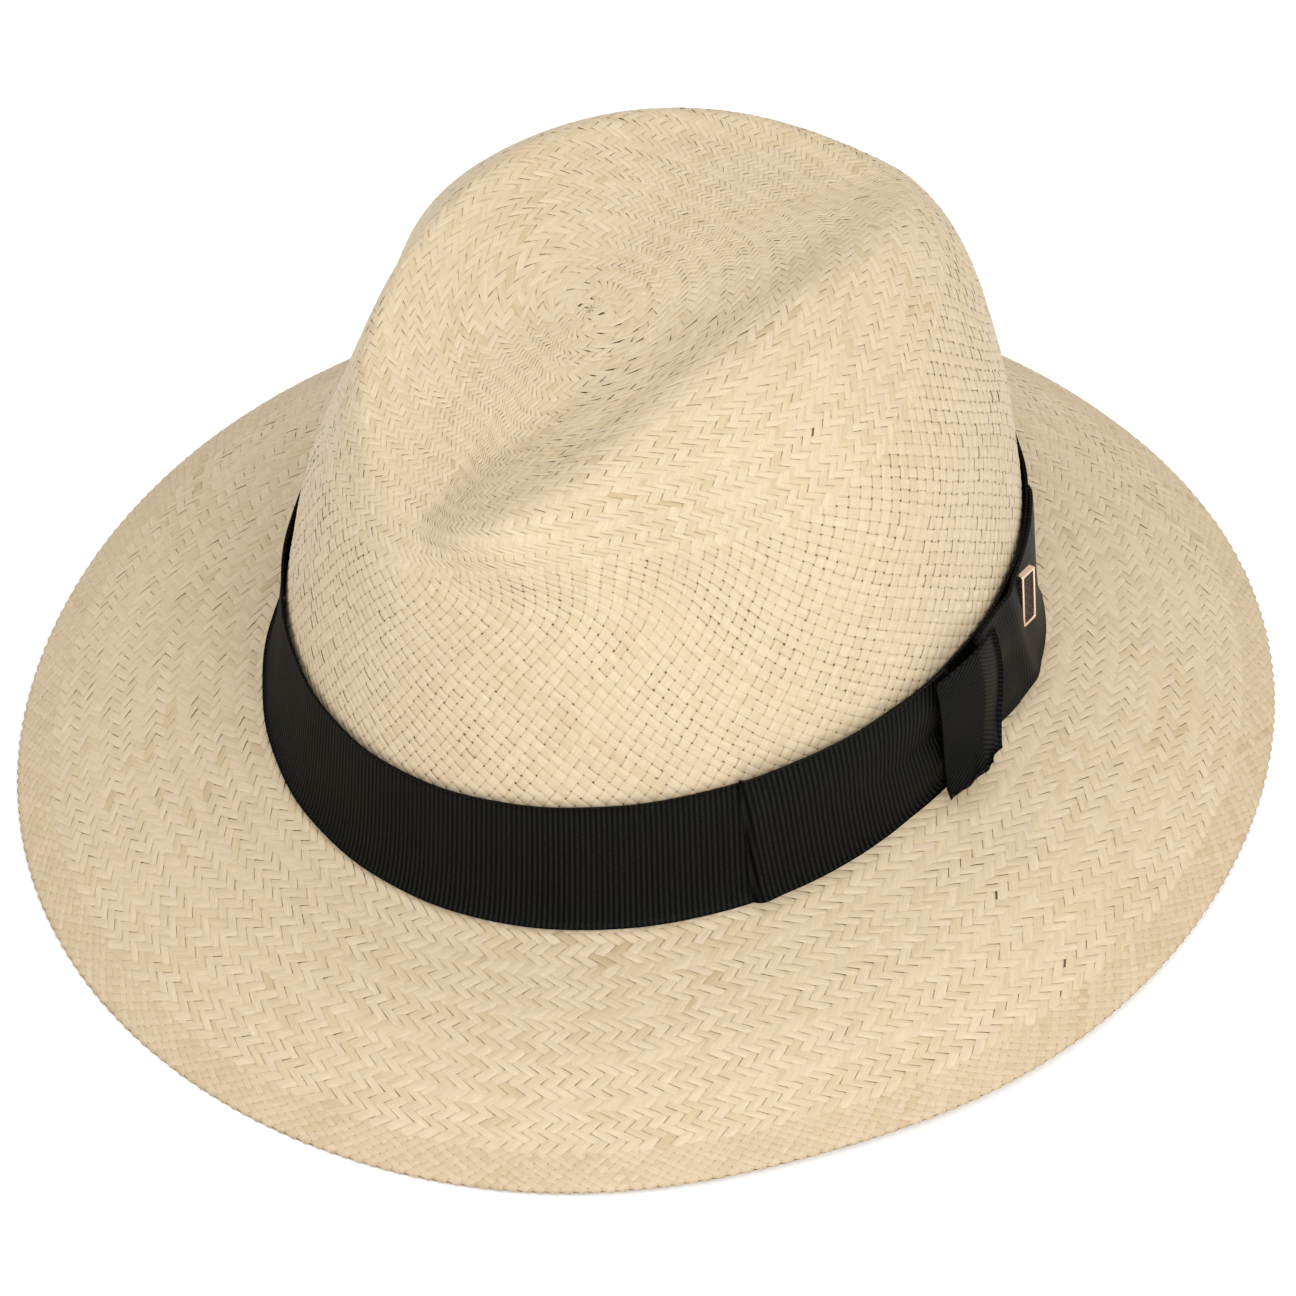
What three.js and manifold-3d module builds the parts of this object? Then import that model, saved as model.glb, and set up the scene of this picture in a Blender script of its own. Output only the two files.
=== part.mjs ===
// Panama hat: a woven straw body with a creased crown, a ribbon band with a flat bow, and a badge.
// Millimetres, +Z up. The wearer faces -Y and the bow is on the wearer's left, +X.
// The origin is on the surface that the brim rests on, under the middle of the head oval.

import * as THREE from 'three';
import { mergeVertices } from 'three/addons/utils/BufferGeometryUtils.js';
import Module from 'manifold-3d';

// ---- head oval, wall and brim ----
const ovalFront = 99; // half length of the head oval, front to back
const ovalSide = 86.5; // half width of the head oval
const ovalEgg = 0.026; // the oval is a little wider at the front
const strawWall = 1.6; // thickness of the woven straw
const brimWidth = 62.5; // from the head oval to the brim's edge, measured level
const brimTaper = 1.1; // the brim is wider at the front and narrower at the back by this
const brimRise = 3; // how far the brim's edge curls up at the two sides
const brimCrown = 2.5; // how far the brim bulges above a straight line from root to edge
const brimRestFlat = 0.3; // the lowest edge is pressed flat by this much where it rests

// ---- crown heights, above the surface ----
const rootHeight = 25; // where the brim turns up into the crown
const rootBackUp = 3.4; // the root is higher at the back than at the middle by this
const rootSidesUp = 2; // and higher at the sides
const bandTopHeight = 62.5;
const wallHeight = 89.5;
const shoulderHeight = 110.5;
const crestHeight = 129.7;
const dentDepth = 1.9; // from the crest's mean height down to the dent's mean height

// ---- ribbon ----
const ribbonGap = 0.5; // clearance between pieces that touch
const ribbonThick = 0.9;
const loopThick = 1.9; // two layers of ribbon
const loopStandOff = 2; // how far the back loop stands away from the band at its middle
const loopFlare = 3.2; // its lower edge stands off further than its upper edge by this
const knotThick = 3.6;
const loopStart = -30; // front fold of the bow, in degrees from the wearer's left
const knotStart = 3;
const knotEnd = 18;
const loopEnd = 47;
const pieceGap = 0.4; // degrees left between the loops and the knot

// ---- badge ----
const badgeWide = 5.4;
const badgeTall = 15.6;
const badgeThick = 1.5;
const badgeFrame = 0.9; // width of the raised frame
const badgePocket = 0.6; // depth of the face inside the frame
const badgeGap = 0.3;
const loopBow = 400; // radius of the loop's face under the plate, measured up the ribbon
const badgeAngle = 28.5;
const badgeHeight = 55;

const around = 64; // facets round the hat
const degree = Math.PI / 180;

// One smooth press of a finger, 1 at its middle and fading over width degrees.
function press(turn, middle, width) {
  const away = ((turn / degree - middle + 540) % 360) - 180;
  return Math.exp(-((away / width) ** 2));
}

// ---- the form, as rings from the brim's edge to the middle of the crown ----

function ovalPoint(turn, outwards) {
  const c = Math.cos(turn);
  const s = Math.sin(turn);
  const x = ovalSide * c * (1 - ovalEgg * s);
  const y = ovalFront * s;
  const normal = new THREE.Vector2(c / ovalSide, s / ovalFront).normalize();
  return new THREE.Vector2(x + normal.x * outwards, y + normal.y * outwards);
}

function rootZ(turn) {
  return rootHeight + rootBackUp * Math.sin(turn) + rootSidesUp * Math.cos(2 * turn);
}

function edgeZ(turn) {
  const side = (1 + Math.cos(2 * turn)) / 2;
  return strawWall - brimRestFlat + brimRise * side;
}

// The brim isn't cut quite even: it is narrower beside the bow, at the far front and at the back.
function brimTrim(turn) {
  return 3.2 * press(turn, -33, 18) + 2 * press(turn, -150, 30) + 1.5 * press(turn, 85, 20);
}

function brimPoint(turn, share) {
  const reach = brimWidth - brimTaper * Math.sin(turn) - brimTrim(turn);
  const flat = ovalPoint(turn, reach * share);
  const drop = rootZ(turn) + (edgeZ(turn) - rootZ(turn)) * share;
  return new THREE.Vector3(flat.x, flat.y, drop + brimCrown * Math.sin(Math.PI * share));
}

// A ring of the crown: half widths to the wearer's left and right, half lengths to front and back,
// how square each side is, and how its height changes towards the back, the left and both sides.
function crownRing(turn, ring) {
  const c = Math.cos(turn);
  const s = Math.sin(turn);
  const square = c > 0 ? ring.squareLeft : ring.squareRight;
  const reach = (Math.abs(c) ** square + Math.abs(s) ** square) ** (-1 / square);
  const inward = ring.inward ? ring.inward(turn) : 0;
  const lift = ring.lift ? ring.lift(turn) : 0;
  const halfX = (c > 0 ? ring.left : ring.right) - inward;
  const halfY = (s > 0 ? ring.back : ring.front) - inward;
  return new THREE.Vector3(
    ring.x + halfX * reach * c,
    ring.y + halfY * reach * s,
    ring.z + ring.backUp * s + ring.leftUp * c + ring.sidesUp * Math.cos(2 * turn) + lift,
  );
}

const sideHollows = (turn) => 9.5 * press(turn, -23, 20) + 10 * press(turn, -156, 20);
const frontLobe = (turn) => press(turn, -54, 28);
const backPinch = (turn) => press(turn, 63, 22);

const crownRings = [
  { x: 0, y: 0.5, left: 82, right: 82, front: 95, back: 96.5, squareLeft: 1.95, squareRight: 1.95,
    z: bandTopHeight, backUp: 3, leftUp: 0, sidesUp: 2 },
  { x: -2.5, y: 2.5, left: 77, right: 77, front: 92.5, back: 94, squareLeft: 1.92, squareRight: 1.92,
    z: wallHeight, backUp: 3, leftUp: 0, sidesUp: 1,
    inward: (turn) => 0.32 * sideHollows(turn) },
  { x: -0.5, y: 4.5, left: 69.5, right: 80, front: 91, back: 87.5, squareLeft: 1.75, squareRight: 1.7,
    z: shoulderHeight, backUp: 2.5, leftUp: -3.5, sidesUp: -1,
    inward: sideHollows },
  { x: -0.5, y: 4, left: 28.5, right: 55, front: 82.5, back: 79, squareLeft: 2.9, squareRight: 2.1,
    z: crestHeight, backUp: 2.5, leftUp: -1.8, sidesUp: 9,
    inward: (turn) => 2 * backPinch(turn) - 6 * frontLobe(turn),
    lift: (turn) => 4.4 * frontLobe(turn) },
  { x: -3, y: 2, left: 16, right: 44, front: 71.5, back: 70, squareLeft: 2.7, squareRight: 2.1,
    z: crestHeight - 0.8 * dentDepth, backUp: 3, leftUp: -2.6, sidesUp: 6.6,
    inward: (turn) => 1.6 * backPinch(turn) - 4.8 * frontLobe(turn),
    lift: (turn) => 3.5 * frontLobe(turn) },
  { x: -7, y: -3, left: 11.5, right: 29, front: 53.5, back: 52, squareLeft: 2.3, squareRight: 2.1,
    z: crestHeight - dentDepth, backUp: 4.5, leftUp: -1.4, sidesUp: 3.4 },
  { x: -12, y: -7, left: 9, right: 12, front: 26, back: 24, squareLeft: 2, squareRight: 2,
    z: crestHeight - dentDepth + 0.7, backUp: 2.5, leftUp: 0, sidesUp: 0 },
];
const crownMiddle = new THREE.Vector3(-14, -6.5, crestHeight - dentDepth + 0.7);

// The section through the hat at one turn, from the brim's edge in to the middle of the crown.
function section(turn) {
  const corner = ovalPoint(turn, 0.4);
  const points = [
    brimPoint(turn, 1),
    brimPoint(turn, 0.55),
    brimPoint(turn, 0.09),
    new THREE.Vector3(corner.x, corner.y, rootZ(turn) + 1.6),
    ...crownRings.map((ring) => crownRing(turn, ring)),
    crownMiddle,
  ];
  return new THREE.CatmullRomCurve3(points, false, 'centripetal');
}
const lastStep = 3 + crownRings.length + 1;
const cornerStep = 3;
const bandTopStep = 4;

// A point of the hat's outer face and the direction out of it, step counted in section points.
function face(turn, step) {
  const small = 0.01;
  const here = section(turn).getPoint(step / lastStep);
  const up = section(turn).getPoint(Math.min(step + small, lastStep) / lastStep)
    .sub(section(turn).getPoint(Math.max(step - small, 0) / lastStep));
  const side = section(turn + small).getPoint(step / lastStep)
    .sub(section(turn - small).getPoint(step / lastStep));
  const out = new THREE.Vector3().crossVectors(side, up).normalize();
  return { here, out };
}

// ---- closed solids from grids of points ----

function solid(vertices, triangles) {
  const geometry = new THREE.BufferGeometry();
  const flat = vertices.flatMap((v) => [v.x, v.y, v.z]);
  geometry.setAttribute('position', new THREE.Float32BufferAttribute(flat, 3));
  geometry.setIndex(triangles.flat());
  geometry.computeVertexNormals();
  return geometry;
}

// A wall that follows the hat's face over a stretch of turns and steps, closed all round.
// low and high give the distances out of the face of its inner and outer side.
function wallPatch(turns, steps, low, high) {
  const vertices = [];
  for (const side of [high, low]) {
    for (const turn of turns) {
      for (const step of steps) {
        const { here, out } = face(turn, step);
        vertices.push(here.clone().addScaledVector(out, side(turn, step)));
      }
    }
  }
  const rows = steps.length;
  const layer = turns.length * rows;
  const at = (side, i, j) => side * layer + i * rows + j;
  const triangles = [];
  const quad = (a, b, c, d) => triangles.push([a, b, c], [a, c, d]);
  for (let i = 0; i < turns.length - 1; i += 1) {
    for (let j = 0; j < rows - 1; j += 1) {
      quad(at(0, i, j), at(0, i + 1, j), at(0, i + 1, j + 1), at(0, i, j + 1));
      quad(at(1, i, j), at(1, i, j + 1), at(1, i + 1, j + 1), at(1, i + 1, j));
    }
    quad(at(1, i, 0), at(1, i + 1, 0), at(0, i + 1, 0), at(0, i, 0));
    const top = rows - 1;
    quad(at(0, i, top), at(0, i + 1, top), at(1, i + 1, top), at(1, i, top));
  }
  const last = turns.length - 1;
  for (let j = 0; j < rows - 1; j += 1) {
    quad(at(0, 0, j), at(0, 0, j + 1), at(1, 0, j + 1), at(1, 0, j));
    quad(at(1, last, j), at(1, last, j + 1), at(0, last, j + 1), at(0, last, j));
  }
  return solid(vertices, triangles);
}

// ---- straw body: crown and brim woven as one ----

const brimSteps = [0, 0.35, 0.75, 1.15, 1.55, 1.85, 2.2, 2.6];
const bandSteps = [3, 3.25, 3.5, 3.75, 4];
const topSteps = [4.5, 5, 5.5, 6, 6.4, 6.75, 7, 7.3, 7.65, 8, 8.5, 9, 9.5, 10, 10.5];

function strawBody() {
  const steps = [...brimSteps, ...bandSteps, ...topSteps];
  const rows = steps.length;
  const vertices = [];
  for (const inside of [0, 1]) {
    for (let i = 0; i < around; i += 1) {
      for (const step of steps) {
        const { here, out } = face((i * 360 / around) * degree, step);
        const point = here.clone().addScaledVector(out, -strawWall * inside);
        point.z = Math.max(point.z, 0);
        vertices.push(point);
      }
    }
  }
  const layer = around * rows;
  const outerMiddle = vertices.push(crownMiddle.clone()) - 1;
  const innerMiddle = vertices.push(crownMiddle.clone().add(new THREE.Vector3(0, 0, -strawWall))) - 1;
  const at = (side, i, j) => side * layer + (i % around) * rows + j;
  const triangles = [];
  const quad = (a, b, c, d) => triangles.push([a, b, c], [a, c, d]);
  for (let i = 0; i < around; i += 1) {
    for (let j = 0; j < rows - 1; j += 1) {
      quad(at(0, i, j), at(0, i + 1, j), at(0, i + 1, j + 1), at(0, i, j + 1));
      quad(at(1, i, j), at(1, i, j + 1), at(1, i + 1, j + 1), at(1, i + 1, j));
    }
    quad(at(1, i, 0), at(1, i + 1, 0), at(0, i + 1, 0), at(0, i, 0));
    triangles.push([at(0, i, rows - 1), at(0, i + 1, rows - 1), outerMiddle]);
    triangles.push([at(1, i + 1, rows - 1), at(1, i, rows - 1), innerMiddle]);
  }
  return solid(vertices, triangles);
}

// ---- ribbon band: one loop of ribbon round the foot of the crown ----

const ribbonFoot = cornerStep + 0.02;

function ribbonBand() {
  const steps = [ribbonFoot, 3.25, 3.5, 3.75, bandTopStep];
  const rows = steps.length;
  const vertices = [];
  for (const distance of [ribbonGap + ribbonThick, ribbonGap]) {
    for (let i = 0; i < around; i += 1) {
      for (const step of steps) {
        const { here, out } = face((i * 360 / around) * degree, step);
        vertices.push(here.clone().addScaledVector(out, distance));
      }
    }
  }
  const layer = around * rows;
  const at = (side, i, j) => side * layer + (i % around) * rows + j;
  const triangles = [];
  const quad = (a, b, c, d) => triangles.push([a, b, c], [a, c, d]);
  for (let i = 0; i < around; i += 1) {
    for (let j = 0; j < rows - 1; j += 1) {
      quad(at(0, i, j), at(0, i + 1, j), at(0, i + 1, j + 1), at(0, i, j + 1));
      quad(at(1, i, j), at(1, i, j + 1), at(1, i + 1, j + 1), at(1, i + 1, j));
    }
    quad(at(1, i, 0), at(1, i + 1, 0), at(0, i + 1, 0), at(0, i, 0));
    const top = rows - 1;
    quad(at(0, i, top), at(0, i + 1, top), at(1, i + 1, top), at(1, i, top));
  }
  return solid(vertices, triangles);
}

// ---- bow: two flat loops and the knot between them ----

const onBand = 2 * ribbonGap + ribbonThick;

function spread(from, to, count) {
  return Array.from({ length: count + 1 }, (_, i) => from + (to - from) * (i / count));
}

function bowPiece(from, to, count, thick) {
  const turns = spread(from * degree, to * degree, count);
  const steps = spread(ribbonFoot, bandTopStep, 6);
  return wallPatch(turns, steps, () => onBand, (turn, step) => onBand + thick(turn, step));
}

const frontLoop = bowPiece(loopStart, knotStart - pieceGap, 12,
  (turn) => loopThick + 0.8 * press(turn, -6, 10));

const knot = bowPiece(knotStart, knotEnd, 8,
  (turn, step) => knotThick + 1.4 * (1 - Math.min(1, (step - ribbonFoot) * 2)));

// The back loop leaves the knot nearly straight, so its middle stands away from the band.
const backLoopStart = knotEnd + pieceGap;

function backLoopLow(turn, step) {
  const share = (turn / degree - backLoopStart) / (loopEnd - backLoopStart);
  const low = (bandTopStep - step) / (bandTopStep - ribbonFoot) - 0.5;
  const arch = Math.sin(Math.PI * Math.min(1, Math.max(0, share)) ** 0.8);
  return onBand + (loopStandOff + loopFlare * low) * arch;
}

const backLoop = wallPatch(
  spread(backLoopStart * degree, loopEnd * degree, 14),
  spread(ribbonFoot, bandTopStep, 6),
  backLoopLow,
  (turn, step) => backLoopLow(turn, step) + loopThick,
);

// ---- badge: a framed plate fixed on the back loop ----

const wasm = await Module();
wasm.setup();

function toManifold(geometry) {
  const bare = geometry.clone();
  bare.deleteAttribute('normal');
  bare.deleteAttribute('uv');
  const merged = mergeVertices(bare, 1e-4);
  return new wasm.Manifold(new wasm.Mesh({
    numProp: 3,
    vertProperties: new Float32Array(merged.attributes.position.array),
    triVerts: new Uint32Array(merged.index.array),
  }));
}

function fromManifold(shape) {
  const mesh = shape.getMesh();
  const geometry = new THREE.BufferGeometry();
  geometry.setAttribute('position', new THREE.Float32BufferAttribute(mesh.vertProperties, 3));
  geometry.setIndex(Array.from(mesh.triVerts));
  geometry.computeVertexNormals();
  return geometry;
}

// The badge's own frame: X along the ribbon, Y up the ribbon, Z out of it.
const badgeTurn = badgeAngle * degree;
const badgeStep = cornerStep + (badgeHeight - rootZ(badgeTurn)) / (bandTopHeight - rootHeight);

function loopSkin(turn, step) {
  const { here, out } = face(turn, step);
  return here.clone().addScaledVector(out, backLoopLow(turn, step) + loopThick);
}

function placeBadge(mesh) {
  const seat = loopSkin(badgeTurn, badgeStep);
  const upper = loopSkin(badgeTurn, badgeStep + 0.2);
  const lower = loopSkin(badgeTurn, badgeStep - 0.2);
  const up = upper.sub(lower).normalize();
  const ahead = loopSkin(badgeTurn + 2 * degree, badgeStep);
  const behind = loopSkin(badgeTurn - 2 * degree, badgeStep);
  const along = ahead.sub(behind);
  const out = new THREE.Vector3().crossVectors(along, up).normalize();
  along.crossVectors(up, out);
  mesh.matrix.makeBasis(along, up, out);
  mesh.matrix.decompose(mesh.position, mesh.quaternion, mesh.scale);
  const bow = badgeTall ** 2 / (8 * loopBow);
  mesh.position.copy(seat).addScaledVector(out, badgeGap + bow);
  return mesh;
}

function box(wide, tall, thick, base) {
  return new THREE.BoxGeometry(wide, tall, thick).translate(0, 0, base + thick / 2);
}

const badgeTray = fromManifold(
  toManifold(box(badgeWide, badgeTall, badgeThick, 0)).subtract(toManifold(
    box(badgeWide - 2 * badgeFrame, badgeTall - 2 * badgeFrame, badgeThick, badgeThick - badgePocket),
  )),
);

// ---- scene graph ----

const straw = new THREE.MeshStandardMaterial({ color: 0xe6d2ab, roughness: 0.62, metalness: 0 });
const grosgrain = new THREE.MeshStandardMaterial({ color: 0x0e1110, roughness: 0.75, metalness: 0 });
const gilt = new THREE.MeshStandardMaterial({ color: 0xd9b48a, roughness: 0.28, metalness: 1 });

function piece(name, geometry, material) {
  const mesh = new THREE.Mesh(geometry, material);
  mesh.name = name;
  return mesh;
}

const hat = new THREE.Group();
hat.add(piece('straw_body', strawBody(), straw));
hat.add(piece('ribbon_band', ribbonBand(), grosgrain));
hat.add(piece('bow_front_loop', frontLoop, grosgrain));
hat.add(piece('bow_knot', knot, grosgrain));
hat.add(piece('bow_back_loop', backLoop, grosgrain));
hat.add(placeBadge(piece('badge_plate', badgeTray, gilt)));

export default hat;
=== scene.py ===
# A woven straw panama hat with a black grosgrain band, a flat bow and a small badge.
# The hat's sizes are in millimetres, and the scene is in metres, +Z up. The wearer faces -Y and
# the bow is on the wearer's left, +X.

import math
from collections import namedtuple

import bpy
import numpy as np
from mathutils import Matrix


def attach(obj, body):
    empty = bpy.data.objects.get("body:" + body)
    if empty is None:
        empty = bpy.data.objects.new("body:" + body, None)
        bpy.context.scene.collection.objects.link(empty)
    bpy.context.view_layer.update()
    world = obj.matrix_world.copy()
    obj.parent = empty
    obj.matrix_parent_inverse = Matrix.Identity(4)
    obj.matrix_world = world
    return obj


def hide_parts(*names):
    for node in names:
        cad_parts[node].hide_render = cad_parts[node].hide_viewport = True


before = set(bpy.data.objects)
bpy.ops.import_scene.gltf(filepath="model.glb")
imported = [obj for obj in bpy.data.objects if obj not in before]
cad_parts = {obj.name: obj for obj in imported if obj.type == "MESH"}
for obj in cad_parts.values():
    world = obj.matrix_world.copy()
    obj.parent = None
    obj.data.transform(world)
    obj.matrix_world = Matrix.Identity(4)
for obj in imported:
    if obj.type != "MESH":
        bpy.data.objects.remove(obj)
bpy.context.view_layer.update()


# ---- camera ----
# The hat is seen from high in front of its left side, from about a metre and a half away,
# through a long lens.

camera_turn = math.radians(42)
camera_rise = math.radians(45)
camera_distance = 1.569
aim_height = 0.0014


def put_in_scene(name, data):
    thing = bpy.data.objects.new(name, data)
    bpy.context.scene.collection.objects.link(thing)
    return thing


camera_data = bpy.data.cameras.new("camera")
camera_data.sensor_width = 36
camera_data.lens = 176.9
camera_data.shift_x = -0.0044
camera_data.shift_y = 0.0471
camera_data.clip_start = 0.05
camera = put_in_scene("camera", camera_data)
camera.location = (
    camera_distance * math.sin(camera_turn) * math.cos(camera_rise),
    -camera_distance * math.cos(camera_turn) * math.cos(camera_rise),
    camera_distance * math.sin(camera_rise) + aim_height,
)
camera.rotation_euler = (math.pi / 2 - camera_rise, 0, camera_turn)
bpy.context.scene.camera = camera


# ---- floor and lights ----
# A plain white sweep of paper, a large soft light high on the hat's left, another above it, and
# a pale room that fills the shadows.

floor_reach = 30
white = (1, 1, 1, 1)


def new_material(name):
    """A material and its shader."""
    material = bpy.data.materials.new(name)
    material.use_nodes = True
    return material, material.node_tree.nodes["Principled BSDF"]


paper, paper_shader = new_material("white_paper")
paper_shader.inputs["Base Color"].default_value = (0.96, 0.96, 0.96, 1)
paper_shader.inputs["Roughness"].default_value = 0.9
paper_shader.inputs["Emission Color"].default_value = white
paper_shader.inputs["Emission Strength"].default_value = 0.16
floor_mesh = bpy.data.meshes.new("floor")
floor_corners = [
    (x * floor_reach, y * floor_reach, 0) for x, y in ((-1, -1), (1, -1), (1, 1), (-1, 1))]
floor_mesh.from_pydata(floor_corners, [], [(0, 1, 2, 3)])
floor_mesh.materials.append(paper)
put_in_scene("floor", floor_mesh)


def soft_light(name, place, size, watts):
    """A round light that faces the middle of the floor."""
    data = bpy.data.lights.new(name, "AREA")
    data.shape = "DISK"
    data.size = size
    data.energy = watts
    light = put_in_scene(name, data)
    light.location = place
    x, y, z = place
    light.rotation_euler = (
        math.atan2(math.hypot(x, y), z), 0, math.atan2(-y, -x) - math.pi / 2)


soft_light("key", (1.0, -0.45, 0.95), 0.9, 9.4)
soft_light("top", (0.2, -0.5, 1.9), 1.5, 11)

room = bpy.data.worlds.new("room")
room.use_nodes = True
room_light = room.node_tree.nodes["Background"]
room_light.inputs["Color"].default_value = white
room_light.inputs["Strength"].default_value = 0.79
bpy.context.scene.world = room
bpy.context.scene.view_settings.view_transform = "Standard"


# ---- form of the hat ----
# The straw is woven from the middle of the crown outwards and then pressed on a block. The
# block is a stack of rings, from the brim's edge up over the crown to its middle.

straw_wall = 1.6
oval_side, oval_front, oval_egg = 86.5, 99, 0.026
root_middle, root_back_up, root_sides_up = 25, 3.4, 2
brim_width, brim_taper = 62.5, 1.1
brim_rise, brim_crown, brim_rest_flat = 3, 2.5, 0.3
brim_shares = (1, 0.55, 0.09)
corner_out, corner_up = 0.4, 1.6

# Each ring of the crown: middle x and y, half widths left and right, half lengths front and back,
# how square its left and right halves are, height, and its rise to the back, left and both sides.
crown_rings = [
    (0, 0.5, 82, 82, 95, 96.5, 1.95, 1.95, 62.5, 3, 0, 2),
    (-2.5, 2.5, 77, 77, 92.5, 94, 1.92, 1.92, 89.5, 3, 0, 1),
    (-0.5, 4.5, 69.5, 80, 91, 87.5, 1.75, 1.7, 110.5, 2.5, -3.5, -1),
    (-0.5, 4, 28.5, 55, 82.5, 79, 2.9, 2.1, 129.7, 2.5, -1.8, 9),
    (-3, 2, 16, 44, 71.5, 70, 2.7, 2.1, 128.2, 3, -2.6, 6.6),
    (-7, -3, 11.5, 29, 53.5, 52, 2.3, 2.1, 127.8, 4.5, -1.4, 3.4),
    (-12, -7, 9, 12, 26, 24, 2, 2, 128.5, 2.5, 0, 0),
]
crown_middle = (-14, -6.5, 128.5)


def swell(where, middle, width):
    """1 at the middle, fading smoothly over the width."""
    return np.exp(-((where - middle) / width) ** 2)


def press(turn, middle, width):
    """The press of a finger at one place round the hat, its middle and width in degrees."""
    away = (np.degrees(turn) - middle + 540) % 360 - 180
    return swell(away, 0, width)


def oval_point(turn, outwards):
    """A point of the head oval, moved straight out from it."""
    c, s = np.cos(turn), np.sin(turn)
    nx, ny = c / oval_side, s / oval_front
    length = np.hypot(nx, ny)
    return (oval_side * c * (1 - oval_egg * s) + nx / length * outwards,
            oval_front * s + ny / length * outwards)


def root_height(turn):
    """Where the brim turns up into the crown."""
    return root_middle + root_back_up * np.sin(turn) + root_sides_up * np.cos(2 * turn)


def brim_trim(turn):
    """The brim is cut narrower beside the bow, at the far front and at the back."""
    return 3.2 * press(turn, -33, 18) + 2 * press(turn, -150, 30) + 1.5 * press(turn, 85, 20)


def brim_point(turn, share):
    """A point of the brim, share 0 at its root and 1 at its edge."""
    reach = brim_width - brim_taper * np.sin(turn) - brim_trim(turn)
    x, y = oval_point(turn, reach * share)
    root = root_height(turn)
    edge = straw_wall - brim_rest_flat + brim_rise * (1 + np.cos(2 * turn)) / 2
    z = root + (edge - root) * share + brim_crown * math.sin(math.pi * share)
    return np.stack([x, y, z], -1)


def block_rings(turn):
    """The block's rings, with the side hollows, the front lobe and the back pinch pressed in."""
    c, s = np.cos(turn), np.sin(turn)
    hollow = 9.5 * press(turn, -23, 20) + 10 * press(turn, -156, 20)
    lobe = press(turn, -54, 28)
    pinch = press(turn, 63, 22)
    inward = [0, 0.32 * hollow, hollow, 2 * pinch - 6 * lobe, 1.6 * pinch - 4.8 * lobe, 0, 0]
    lift = [0, 0, 0, 4.4 * lobe, 3.5 * lobe, 0, 0]
    rings = [brim_point(turn, share) for share in brim_shares]
    rings.append(np.stack([*oval_point(turn, corner_out), root_height(turn) + corner_up], -1))
    for k, ring in enumerate(crown_rings):
        x, y, left, right, front, back, left_square, right_square = ring[:8]
        z, back_up, left_up, sides_up = ring[8:]
        square = np.where(c > 0, left_square, right_square)
        reach = (np.abs(c) ** square + np.abs(s) ** square) ** (-1 / square)
        half_x = np.where(c > 0, left, right) - inward[k]
        half_y = np.where(s > 0, back, front) - inward[k]
        height = z + back_up * s + left_up * c + sides_up * np.cos(2 * turn) + lift[k]
        rings.append(np.stack([x + half_x * reach * c, y + half_y * reach * s, height], -1))
    rings.append(np.broadcast_to(np.array(crown_middle, float), rings[-1].shape))
    return np.stack(rings, 1)


def smooth_through(rings, steps):
    """A centripetal curve through the rings at each turn, its steps counted in rings."""
    first = 2 * rings[:, :1] - rings[:, 1:2]
    last = 2 * rings[:, -1:] - rings[:, -2:-1]
    points = np.concatenate([first, rings, last], 1)
    k = np.clip(np.floor(steps).astype(int), 0, rings.shape[1] - 2)
    f = (steps - k)[None, :, None]
    p = [points[:, k + i] for i in range(4)]
    d = [np.maximum(np.linalg.norm(p[i + 1] - p[i], axis=-1) ** 0.5, 1e-4)[..., None]
         for i in range(3)]
    t1 = (p[1] - p[0]) / d[0] - (p[2] - p[0]) / (d[0] + d[1]) + (p[2] - p[1]) / d[1]
    t2 = (p[2] - p[1]) / d[1] - (p[3] - p[1]) / (d[1] + d[2]) + (p[3] - p[2]) / d[2]
    t1, t2 = t1 * d[1], t2 * d[1]
    return (p[1] + t1 * f + (3 * p[2] - 3 * p[1] - 2 * t1 - t2) * f ** 2
            + (2 * p[1] - 2 * p[2] + t1 + t2) * f ** 3)


def unit(vectors):
    return vectors / np.maximum(np.linalg.norm(vectors, axis=-1, keepdims=True), 1e-9)


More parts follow.
